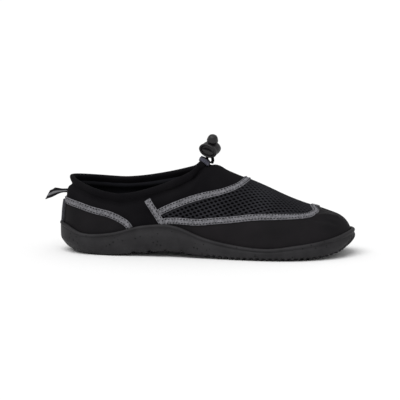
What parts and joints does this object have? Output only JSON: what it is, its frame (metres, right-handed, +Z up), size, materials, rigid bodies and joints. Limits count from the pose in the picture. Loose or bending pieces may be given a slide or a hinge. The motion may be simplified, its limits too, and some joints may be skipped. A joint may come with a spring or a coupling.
{
  "type": "water shoe",
  "caption": "Slip-on water shoe with a hollow neoprene upper, mesh vamp, raised rubber cup sole, heel pull loop and drawcord lock.",
  "frame": {"origin": "middle of the shoe's box, on the ground it stands on", "axes": "+X to the toe, +Y to the inner side of the foot, +Z up"},
  "size_m": [0.3034, 0.1026, 0.1152],
  "materials": {
    "sole_rubber": "semi-matte moulded",
    "insole_foam": "matt knitted",
    "neoprene": "matt jersey on neoprene",
    "gray_tape": "woven tape",
    "webbing": "woven webbing",
    "elastic_cord": "braided",
    "lock_plastic": "satin moulded"
  },
  "bodies": {
    "root": {"outsole": "sole_rubber", "insole": "insole_foam", "upper": "neoprene", "collar_band": "neoprene", "heel_tape": "gray_tape", "heel_strip": "webbing", "side_tape_outer": "gray_tape", "side_tape_inner": "gray_tape", "vamp_tape": "gray_tape", "toe_tape": "gray_tape", "pull_loop": "webbing", "lock_body": "lock_plastic", "lock_button": "lock_plastic", "drawcord_outer": "elastic_cord", "drawcord_inner": "elastic_cord", "cord_end": "lock_plastic", "cord_guide_outer": "gray_tape", "cord_guide_inner": "gray_tape"}
  },
  "joints": []
}
